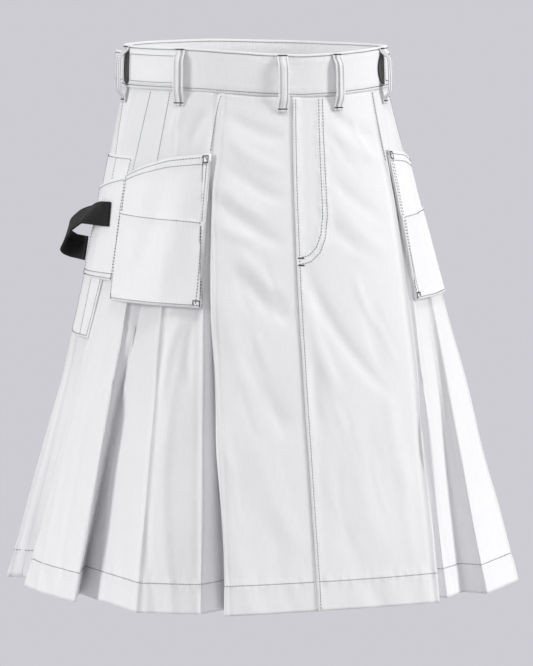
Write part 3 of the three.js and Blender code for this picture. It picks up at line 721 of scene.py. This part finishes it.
def band_section(wide, thick, groove=3.0, sink=0.35):
    """The closed section of a flat folded strip: across, and out from its inner face."""
    w = wide / 2
    r = min(thick / 2, 1.1)
    face = [
        (-w + r * 0.3, thick - r * 0.3), (-w + r, thick), (-w + groove - 0.8, thick + 0.05),
        (-w + groove, thick - sink), (-w + groove + 0.9, thick + 0.02), (-w * 0.5, thick + 0.1),
        (0, thick + 0.12),
        (w * 0.5, thick + 0.1), (w - groove - 0.9, thick + 0.02), (w - groove, thick - sink),
        (w - groove + 0.8, thick + 0.05), (w - r, thick), (w - r * 0.3, thick - r * 0.3),
    ]
    under = [(w, thick - r), (w, r), (w - r, 0), (0, 0), (-w + r, 0), (-w, r), (-w, thick - r)]
    return np.array(face + under)


def strip(name, steps, spot, section, material, taper=None):
    """A strip of cloth or webbing swept along `spot(s)`: points, outward and crosswise ways."""
    bm, ia, ib = flat_grid(steps, len(section))
    p, out, side = spot(np.linspace(0, 1, steps + 1))
    across, off = section[ib % len(section)].T
    if taper is not None:
        across = across * taper(np.linspace(0, 1, steps + 1))[ia]
    points = p[ia] + side[ia] * across[:, None] + out[ia] * off[:, None]
    for v, q in zip(bm.verts, points / 1000):
        v.co = q
    mark_cut(bm, reach_along(p)[ia], reach_along(np.r_[section, section[:1]])[ib])
    bmesh.ops.remove_doubles(bm, verts=bm.verts, dist=1e-6)
    bmesh.ops.holes_fill(bm, edges=[e for e in bm.edges if e.is_boundary], sides=0)
    bmesh.ops.recalc_face_normals(bm, faces=bm.faces)
    return as_piece(bm, name, material)


def waist_normal(deg):
    t = np.radians(deg)
    n = np.stack([np.sin(t) / WAIST_A, -np.cos(t) / WAIST_B, np.zeros_like(t)], -1)
    return n / np.linalg.norm(n, axis=-1, keepdims=True)


def band_wave(deg):
    return 0.35 * np.sin(np.radians(deg) * 5 + 1) + 0.25 * np.sin(np.radians(deg) * 11)


def on_band(deg, drop, rise=0.0, inside=False):
    """A point of the band's face, `drop` millimetres below its top edge."""
    deg, drop = np.broadcast_arrays(np.asarray(deg, float), np.asarray(drop, float))
    n = waist_normal(deg)
    out = BAND_PROUD - BAND_FLARE * (1 - drop / BAND_HEIGHT) + band_wave(deg)
    if inside:
        out = out - BAND_THICK - rise
    else:
        out = out + 0.05 + rise
    t = np.radians(deg)
    xy = np.stack([WAIST_A * np.sin(t), -WAIST_B * np.cos(t)], -1) + n[..., :2] * out[..., None]
    round_back = np.where(np.abs(deg) > 180, 360 - np.abs(deg), deg)
    p = np.concatenate([xy, (edge_height(round_back) - drop)[..., None]], -1)
    return p, -n if inside else n


def up_band(n):
    """The way up the band's face, which leans in towards its top."""
    lean = -BAND_FLARE / BAND_HEIGHT
    return np.stack([n[:, 0] * lean, n[:, 1] * lean, np.ones(len(n))], -1)


def band_spot(s):
    deg = BAND_START - BAND_TURN * s
    p, n = on_band(np.where(deg < -180, deg + 360, deg), np.full_like(deg, BAND_HEIGHT / 2))
    return p - n * BAND_THICK, n, up_band(n)


section = band_section(BAND_HEIGHT, BAND_THICK)
waistband = strip("waistband_cloth", 300, band_spot, section, white_twill)
stands_for(waistband, "waistband")
for drop in BAND_ROWS:
    for inside in (False, True):
        sew("waistband", *on_band(np.linspace(-8.9, -368.6, 900), drop, 0.0, inside))

# Pockets: on each side a holster pocket with a lower patch and a bellows strip, a tool pocket
# carrying on its mouth line, and a long rule pocket behind. All twill, edges turned and stitched.
R2, R3 = 4, 5
PATCH_TOP = 3 / 8
FORM_TOP = -51


def drop_share(z):
    """The height share at a height below the waist's origin."""
    return (z - FORM_TOP) / (HEM_Z - FORM_TOP)


def off_flat(c, u, rise):
    """A point over the unpleated cloth, which the pockets lie on."""
    near = 0.06
    lo = np.sign(c) * np.maximum(np.abs(c) - near, 0)
    hi = np.sign(c) * np.minimum(np.abs(c) + near, 8)
    across = flat_cloth(hi, u) - flat_cloth(lo, u)
    down = flat_cloth(c, np.minimum(u + 0.02, 1)) - flat_cloth(c, np.maximum(u - 0.02, 0))
    n = np.cross(across, down) * -np.sign(c)[..., None]
    n /= np.linalg.norm(n, axis=-1, keepdims=True)
    return flat_cloth(c, u) + n * np.asarray(rise)[..., None], n


def mixed(a, b, t):
    return a + (b - a) * t


POCKET_U = 0.3
EDGE_ROLL = 3.0
EDGE_PUCKER = 0.13
ring_q = np.linspace(0, 8, 801)
ring_arc = {turn: reach_along(flat_cloth(turn * ring_q, POCKET_U)) for turn in (-1, 1)}


def evenly(turn, q0, q1, t):
    """The ridge count at an even share of the cloth's width between two ridge counts."""
    a, b = np.interp(q0, ring_q, ring_arc[turn]), np.interp(q1, ring_q, ring_arc[turn])
    return np.interp(mixed(a, b, t), ring_arc[turn], ring_q)


def pocket_surface(turn, place, stand, size, roll, base):
    """Gives a sewn-on piece's surface from where its width and length shares lie and how far it
    stands off. `roll` says which of its top, bottom, front and rear edges roll down to `base`."""

    def surface(a, b):
        a, b = np.broadcast_arrays(np.asarray(a, float), np.asarray(b, float))
        q, u = place(a, b)
        w, h = size
        rise = stand(a, b)
        edge = np.ones_like(rise)
        for on, far in zip(roll, (b * h, (1 - b) * h, a * w, (1 - a) * w)):
            if on:
                t = np.clip(far / EDGE_ROLL, 0, 1)
                edge = edge * np.sqrt(np.clip(1 - (1 - t) ** 2, 0, 1))
            else:
                edge = edge * (1 - 0.06 * np.exp(-(far / 1.2) ** 2))
        for far, along in ((np.minimum(a, 1 - a) * w, b * h), (np.minimum(b, 1 - b) * h, a * w)):
            drawn = np.sin(along / 4.1) + 0.8 * np.sin(along / 2.3 + 1)
            drawn = drawn + 0.9 * np.sin(along / 7.9 + 2)
            free = np.clip(base + rise - 1.5, 0, 1)
            rise = rise + EDGE_PUCKER * drawn * np.exp(-((far / 8) ** 2)) * free
        return off_flat(turn * q, u, base + (rise - base) * edge)

    return surface


def edged(n, width):
    """Shares across a pocket, closer together beside its edges."""
    close = np.array([0, 0.7, 1.6, 2.8, 4.5]) / width
    return np.r_[close, np.linspace(7 / width, 1 - 7 / width, n), 1 - close[::-1]]


# each pocket's cut: width, length and area, in metres, and how much larger the left ones are
CUTS = {
    "holster": (0.13, 0.165, 0.0189), "patch": (0.13, 0.105, 0.0124),
    "tool_pocket": (0.095, 0.125, 0.0092), "rule_pocket": (0.092, 0.205, 0.015),
    "bellows": (0.011, 0.165, 0.0009),
}
LEFT_SHARE = {"tool_pocket": 1.1, "rule_pocket": 1.1, "bellows": 0.75}
for turn, side in ((-1, "right"), (1, "left")):
    surfaces = {}
    dent = 1.0 if turn < 0 else 0.7

    def left_edge(b):
        return mixed(R3, R2 + 0.42, b)

    def front_edge(b):
        return 2.03 - 0.85 * (1 - b) ** 0.8

    def holster_place(a, b, turn=turn):
        q = evenly(turn, front_edge(b), left_edge(b), a)
        patch_top = mixed(-191, -185, a)
        mouth = mixed(-117.5, -146, a) + 3.5 * np.sin(np.pi * a)
        upper = mixed(mouth, patch_top, b / PATCH_TOP)
        lower = mixed(patch_top, mixed(-285, -282, a), (b - PATCH_TOP) / (1 - PATCH_TOP))
        return q, drop_share(np.where(b < PATCH_TOP, upper, lower))

    def holster_stand(a, b, side=side, dent=dent):
        sag, low, full = (2.5, 3.8, 4.4) if side == "right" else (0.5, 2.8, 1.6)
        rise = low + full * (1 - a) ** 0.7 * (0.55 + 0.45 * b) + sag * np.sin(np.pi * a) * (1 - b)
        rise = rise + 0.35 * np.clip((0.058 - b) / 0.01, 0, 1)
        rise = rise + dent * 1.5 * np.sin(7 * a + 3 * b) * np.sin(np.pi * a) * np.sin(np.pi * b)
        rise = rise - dent * 2.6 * np.exp(-(((a - 0.35 - 0.4 * b) / 0.13) ** 2)) * np.sin(np.pi * b)
        return rise + dent * 2.2 * np.exp(-(((a - 0.15 - 0.3 * b) / 0.12) ** 2)) * np.sin(np.pi * b)

    def patch_place(a, b):
        return holster_place(a, mixed(PATCH_TOP, 1, b))

    def patch_stand(a, b):
        return holster_stand(a, mixed(PATCH_TOP, 1, b)) + 1.35

    def tool_place(a, b):
        q = mixed(left_edge(b * 0.83) + 0.02, R3 + mixed(0.86, 0.8, b), a)
        return q, drop_share(mixed(mixed(-147, -163, a), -262, b))

    def tool_stand(a, b):
        rise = 1.7 + 1.9 * np.clip(a * 6, 0, 1)
        return rise + 1.0 * np.sin(np.pi * a) * np.sin(np.pi * b) + 0.3 * np.sin(8 * b + 2 * a)

    def rule_place(a, b):
        return R3 + mixed(-0.02, 0.94, a), drop_share(mixed(-125, -328, b))

    def rule_stand(a, b):
        return 0.9 + 0.9 * np.clip(b * 3 - 0.9, 0, 1) + 0.6 * np.sin(np.pi * a) * np.sin(np.pi * b)

    def bellows_place(a, b):
        return front_edge(b) + 0.06 * a, drop_share(mixed(-123, -284, b))

    def bellows_stand(a, b, stand=holster_stand):
        fold = 1 - 0.35 * np.exp(-(((a - 0.5) / 0.2) ** 2))
        return (stand(a * 0 + 0.02, b) - 1.9) * fold

    # place, stand, size, rolled edges, thickness, columns, rows, height of the rolled edges
    rows = {
        "rule_pocket": (rule_place, rule_stand, (78, 200), (1, 1, 1, 1), 1.2, 14, 50, 0.4),
        "tool_pocket": (tool_place, tool_stand, (82, 107), (0, 1, 0, 1), 1.3, 22, 30, 1.6),
        "holster": (holster_place, holster_stand, (110, 150), (0, 1, 1, 1), 1.3, 60, 70, 2.7),
        "bellows": (bellows_place, bellows_stand, (4, 161), (1, 1, 0, 0), 0.8, 3, 40, 0.4),
        "patch": (patch_place, patch_stand, (106, 97), (0, 1, 1, 1), 1.0, 56, 44, 3.2),
    }
    for kind, (place, stand, size, roll, thick, na, nb, base) in rows.items():
        surfaces[kind] = pocket_surface(turn, place, stand, size, roll, base)
        across = np.linspace(0, 1, 9) if kind == "bellows" else edged(na, size[0])
        name = f"{kind}_{side}"
        piece = cut(name + "_cloth", across, edged(nb, size[1]), surfaces[kind], size, thick)
        wide, long, area = CUTS[kind]
        if turn > 0:
            area *= LEFT_SHARE.get(kind, 1)
        stands_for(piece, name)
    # rows of stitches, with the points that each is traced by, and bartacks
    for kind, n, lines in (
        ("holster", 260, (
            [(0.02, 0.02), (0.98, 0.02)], [(0.02, 0.058), (0.98, 0.058)],
            [(0.022, 0.02), (0.022, 0.985)], [(0.06, 0.058), (0.06, 0.985)],
            [(0.975, 0.02), (0.975, 0.985)],
        )),
        ("patch", 260, (
            [(0.02, 0.03), (0.98, 0.03)],
            [(0.022, 0.05), (0.022, 0.97), (0.978, 0.97), (0.978, 0.05)],
            [(0.06, 0.05), (0.06, 0.96)],
        )),
        ("tool_pocket", 260, (
            [(0.03, 0.03), (0.97, 0.03)], [(0.97, 0.03), (0.97, 0.975)],
            [(0.03, 0.975), (0.97, 0.975)], [(0.03, 0.93), (0.97, 0.93)],
            [(0.03, 0.03), (0.03, 0.975)],
        )),
        ("rule_pocket", 300, (
            [(0.04, 0.015), (0.96, 0.015)], [(0.96, 0.015), (0.96, 0.985)],
            [(0.04, 0.985), (0.96, 0.985)], [(0.04, 0.015), (0.04, 0.985)],
            [(0.45, 0.015), (0.3, 0.985)],
        )),
    ):
        for line in lines:
            sew("pockets_" + side, *trace(surfaces[kind], line, n))
    for kind, lines in (
        ("holster", (
            [(0.012, 0.012), (0.075, 0.012)], [(0.012, 0.05), (0.075, 0.05)],
            [(0.012, 0.01), (0.012, 0.05)], [(0.075, 0.01), (0.075, 0.05)],
        )),
        ("patch", (
            [(0.022, 0.92), (0.022, 0.985)], [(0.085, 0.91), (0.085, 0.97)],
            [(0.03, 0.92), (0.075, 0.92)], [(0.978, 0.93), (0.978, 0.985)],
        )),
        ("tool_pocket", ([(0.93, 0.99), (0.98, 0.93)], [(0.03, 0.94), (0.03, 0.99)])),
        ("rule_pocket", ([(0.9, 0.86), (0.98, 0.86)], [(0.9, 0.01), (0.98, 0.01)])),
    ):
        for line in lines:
            bartack(*trace(surfaces[kind], line, 30), wide=1.6)

# Belt loops: folded twill strips, twin-stitched, sewn down above and below the waistband and
# standing off it between.
LOOP_WIDE = 12.5
LOOP_THICK = 1.8
LOOP_STAND = 8.6
LOOP_BELOW = 16
FRONT_STAND = 4.6
LOOP_ROW = (2.4, 3.0, 0.24)
LOOPS = {
    "loop_right_side": -93, "loop_right_front": -53.5, "loop_fly": -8.75,
    "loop_front_left": 16.75, "loop_left_front": 51, "loop_left_side": 95, "loop_back": 180,
}


def ridge_count(deg):
    """The ridge count c at a waist angle."""
    right, left = -RIDGES[0][:, 0], RIDGES[1][:, 0]
    if deg < left[0]:
        return -np.interp(-deg, right, np.arange(9))
    return np.interp(deg, left, np.arange(9))


for name, deg in LOOPS.items():
    out = waist_normal(np.array(float(deg)))
    along = np.array([-out[1], out[0], 0.0])
    c = ridge_count(deg)

    def loop_spot(s, deg=deg, out=out, along=along, c=c):
        drop = 1 + s * (BAND_HEIGHT + LOOP_BELOW)
        up, down = np.clip((s - 0.05) / 0.17, 0, 1), np.clip((0.93 - s) / 0.19, 0, 1)
        rising = up * up * (3 - 2 * up) * down * down * (3 - 2 * down)
        stand = (FRONT_STAND if -60 < deg < 30 else LOOP_STAND) * rising + 0.7 * np.sin(np.pi * s)
        band, _ = on_band(np.full_like(s, deg), np.minimum(drop, BAND_HEIGHT))
        top = float(edge_height(np.array(float(deg))))
        u = (drop - BAND_HEIGHT - SEAM_GAP) / (top - BAND_HEIGHT - SEAM_GAP - HEM_Z)
        low = flat_cloth(np.full_like(s, c), np.maximum(u, 0)) + out * 0.6
        p = np.where((drop < BAND_HEIGHT)[:, None], band, low)
        p[:, 2] = top - drop
        p = p + out * (0.35 + stand)[:, None]
        tangent = np.gradient(p, axis=0)
        face = np.cross(np.broadcast_to(along, p.shape), tangent)
        face *= np.sign(face @ out)[:, None]
        face /= np.linalg.norm(face, axis=1, keepdims=True)
        return p, face, np.broadcast_to(along, p.shape).copy()

    section = band_section(LOOP_WIDE, LOOP_THICK, 2.6, 0.2)
    loop = strip(name + "_cloth", 40, loop_spot, section, white_twill)
    stands_for(loop, name)
    p, face, across = loop_spot(np.linspace(0, 1, 60))
    for way in (-1, 1):
        row = p + across * way * (LOOP_WIDE / 2 - 2.3) + face * (LOOP_THICK - 0.1)
        sew("loops", row[4:-4], face[4:-4], *LOOP_ROW)
    for k in (1, -4):
        half_bar = across[k] * LOOP_WIDE * 0.46
        ends = np.stack([p[k] - half_bar, p[k] + half_bar]) + face[k] * LOOP_THICK
        bartack(ends, np.stack([face[k]] * 2), wide=1.8)

# Adjuster straps of twill on both sides of the waistband, and dark brown strips of painted shade
# put in the gaps beside the loops, where there is only shade.
STRAP_WIDE = 35
SHADE_STRIP_WIDE = 37
STRAP_THICK = 1.6
STRAP_INSET = 2.9
# painted shade: a near-black brown woven strip that stands in for the deep shade in the loops' gaps
hook_tape = woven("hook_tape", (0.045, 0.038, 0.032), 900, 1.2, 0.8, 0.0006, 0.95, 0.4, 0.3)
# from and to in degrees, how far the far end stands off, width, and length in metres
STRAPS = {
    "adjuster_right": (-54.6, -88, 0, STRAP_WIDE, 0.081),
    # tape_right and tape_left are dark strips of painted shade in the gaps beside the loops
    "tape_right": (-88.5, -97, 0, SHADE_STRIP_WIDE, 0.022),
    "strap_end_right": (-97.5, -114, 7.5, STRAP_WIDE, 0.042),
    "tape_left": (46, 53, 0, SHADE_STRIP_WIDE, 0.021),
    "adjuster_left": (53.6, 86, 0, STRAP_WIDE, 0.08),
}
for name, (start, end, rise, wide, long) in STRAPS.items():
    dark = wide == SHADE_STRIP_WIDE

    def strap_spot(s, start=start, end=end, rise=rise):
        deg = start + (end - start) * s
        p, n = on_band(deg, np.full_like(s, BAND_HEIGHT / 2 + 1), 0.3 + rise * s)
        return p, n, up_band(n)

    def lens(s, name=name):
        """The dark strips of painted shade show narrower where they run in under the cloth."""
        if name == "tape_left":
            return np.sqrt(np.clip(1 - (1 - s) ** 2, 0.01, 1))
        return np.clip(1 - (2 * s - 1) ** 2, 0.02, 1) ** 0.25

    section = band_section(wide, STRAP_THICK, 3.0, 0.2)
    # the dark strips of painted shade get the near-black material, the straps white twill
    cloth, taper = (hook_tape, lens) if dark else (white_twill, None)
    strap = strip(name + "_cloth", 40, strap_spot, section, cloth, taper)
    stands_for(strap, name)
    if not dark:
        p, n, side = strap_spot(np.linspace(0.04, 0.96, 60))
        lift = n * (STRAP_THICK - 0.1)
        for way in (-1, 1):
            sew("straps", p + side * way * (wide / 2 - STRAP_INSET) + lift, n)
        for k in (0, -1):
            over = np.linspace(-wide / 2 + STRAP_INSET, wide / 2 - STRAP_INSET, 20)[:, None]
            line = over * side[k] + p[k] + lift[k]
            sew("straps", line, np.repeat(n[k][None], 20, 0))

# Hammer loop: black ribbed webbing, 27.5 mm wide, sewn to the right tool pocket at both ends and
# bowed out between.
HAMMER_WIDE = 27.5
HAMMER_THICK = 2.0
HAMMER_START = 5.12
HAMMER_SCALE = 77
HAMMER_RISE = 4.45
# its path: millimetres to the rear, out from the pocket, and height
HAMMER = np.array([
    (0, 0.5, -190), (10, 1.2, -190.5), (27, 5, -192), (42, 12, -197), (54, 20, -207),
    (61, 24, -219), (67, 24, -229.5), (71, 19, -234.5), (70, 11, -234.5), (64, 5, -233.5),
    (53, 2.9, -232.5),
], float)
# how the webbing leans over along its length, in degrees
LEAN_AT = [0, 0.12, 0.3, 0.45, 0.6, 0.75, 1]
LEAN = [0, 0, -40, -30, -10, 0, 0]
black_webbing = woven(
    "black_webbing", (0.006, 0.006, 0.0065), 150, 1.5708, 0.25, 0.0008, 0.7, 0.06, mottle=0.25
)


def smooth_path(knots, n):
    """A smooth line through knots."""
    t = np.r_[0, np.cumsum(np.linalg.norm(np.diff(knots, axis=0), axis=1) ** 0.5)]

    def slope(k):
        a, b = max(k - 1, 0), min(k + 1, len(t) - 1)
        return (knots[b] - knots[a]) / (t[b] - t[a])

    out = []
    for s in np.linspace(0, t[-1], n):
        i = min(np.searchsorted(t, s, side="right") - 1, len(t) - 2)
        f = (s - t[i]) / (t[i + 1] - t[i])
        m = [slope(k) * (t[i + 1] - t[i]) for k in (i, i + 1)]
        out.append(
            (2 * f**3 - 3 * f**2 + 1) * knots[i] + (f**3 - 2 * f**2 + f) * m[0]
            + (3 * f**2 - 2 * f**3) * knots[i + 1] + (f**3 - f**2) * m[1]
        )
    return np.array(out)


def hammer_spot(s):
    rows = smooth_path(HAMMER, len(s))
    c = -(HAMMER_START + rows[:, 0] / HAMMER_SCALE)
    u = drop_share(rows[:, 2])
    p, n = off_flat(c, u, HAMMER_RISE + rows[:, 1])
    up = flat_cloth(c, drop_share(rows[:, 2] + 20)) - flat_cloth(c, u)
    up /= np.linalg.norm(up, axis=1, keepdims=True)
    along = np.gradient(p, axis=0)
    along /= np.linalg.norm(along, axis=1, keepdims=True)
    wide = up - along * (up * along).sum(1, keepdims=True)
    wide /= np.linalg.norm(wide, axis=1, keepdims=True)
    out = np.cross(wide, along)
    lean = np.radians(np.interp(s, LEAN_AT, LEAN))[:, None]
    return p, out * np.cos(lean) - wide * np.sin(lean), wide * np.cos(lean) + out * np.sin(lean)


section = band_section(HAMMER_WIDE, HAMMER_THICK, 2.4, 0.25)
hammer = strip("hammer_loop_webbing", 90, hammer_spot, section, black_webbing)
stands_for(hammer, "hammer_loop")

# Thread: the rows sewn above become one piece for each group of seams. Beside its stitches the
# cloth is drawn in and puckers, which its material reads from how near the nearest stitch is.
DRAWN_WIDE = 0.0055
tree = kdtree.KDTree(len(sewn_at))
for k, p in enumerate(sewn_at):
    tree.insert(Vector(p), k)
tree.balance()
for piece in [o for o in bpy.data.objects if o.name.endswith("_cloth")]:
    mesh = piece.data
    drawn = mesh.attributes.new("sewn", "FLOAT", "POINT")
    near = [np.exp(-((tree.find(v.co)[2] / DRAWN_WIDE) ** 2)) for v in mesh.vertices]
    drawn.data.foreach_set("value", np.array(near, np.float32))
for group, bm in seams.items():
    for face in bm.faces:
        face.smooth = True
    thread = as_piece(bm, "thread_" + group, thread_black if group == "bartacks" else thread_grey)
    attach(thread, "root")

# Studio: a pale round floor well below the kilt, soft lights from both sides, from high in front
# and from behind, and an even pale sky that the camera sees as the plain backdrop.
FLOOR_RADIUS, FLOOR_Z = 1.5, -1.05
floor_material, shader = new_material("pale_floor")
shader.inputs["Base Color"].default_value = (0.62, 0.62, 0.65, 1)
shader.inputs["Roughness"].default_value = 0.9
tree = floor_material.node_tree
grain = node(tree, "ShaderNodeTexNoise", {"Scale": 30})
soft_grain = node(tree, "ShaderNodeBump", {"Strength": 0.05})
link_chain(tree, [(grain, 0, soft_grain, "Height"), (soft_grain, 0, shader, "Normal")])
bm = bmesh.new()
down = Matrix.Translation((0, 0, FLOOR_Z))
bmesh.ops.create_circle(bm, cap_ends=True, radius=FLOOR_RADIUS, segments=96, matrix=down)
floor = as_piece(bm, "floor", floor_material)

# the photograph's view: its focal length in its own pixels, across its width
CAMERA_AT = Vector((-1.7083, -3.8369, 0.050))
CAMERA_TO = Vector((0.01096, -0.00488, -0.3263))
FOCAL, PHOTO_WIDE, SENSOR = 3737, 533, 36
camera = bpy.data.objects.new("camera", bpy.data.cameras.new("camera"))
bpy.context.collection.objects.link(camera)
camera.location = CAMERA_AT
camera.rotation_euler = (CAMERA_TO - CAMERA_AT).to_track_quat("-Z", "Y").to_euler()
camera.data.sensor_fit = "HORIZONTAL"
camera.data.sensor_width = SENSOR
camera.data.lens = FOCAL / PHOTO_WIDE * SENSOR
bpy.context.scene.camera = camera

# place, width and height, watts
LIT_AT = Vector((0, 0, -0.32))
LIGHTS = {
    "left": ((-3.7, -0.2, 0.6), (1.0, 1.8), 73),
    "right": ((2.9, -1.8, 0.8), (0.9, 1.8), 84),
    "front": ((-0.5, -1.9, 3.7), (1.0, 1.0), 58),
    "back": ((0.9, 3.4, 1.8), (2.0, 2.0), 34),
}
for name, (spot, size, power) in LIGHTS.items():
    light = bpy.data.lights.new(name, "AREA")
    light.shape = "RECTANGLE"
    light.size, light.size_y = size
    light.energy = power
    lamp = bpy.data.objects.new("light_" + name, light)
    bpy.context.collection.objects.link(lamp)
    lamp.location = spot
    lamp.rotation_euler = (LIT_AT - Vector(spot)).to_track_quat("-Z", "Y").to_euler()
world = bpy.data.worlds.new("studio")
world.use_nodes = True
bpy.context.scene.world = world
tree = world.node_tree
sky = tree.nodes["Background"]
sky.inputs["Color"].default_value = (1, 1, 1.01, 1)
sky.inputs["Strength"].default_value = 0.41
seen = node(tree, "ShaderNodeBackground", {"Color": (0.6105, 0.6075, 0.6495, 1)})
path = node(tree, "ShaderNodeLightPath")
choose = node(tree, "ShaderNodeMixShader")
link_chain(tree, [
    (path, "Is Camera Ray", choose, 0), (sky, 0, choose, 1), (seen, 0, choose, 2),
    (choose, 0, tree.nodes["World Output"], 0),
])
bpy.context.scene.view_settings.view_transform = "Standard"
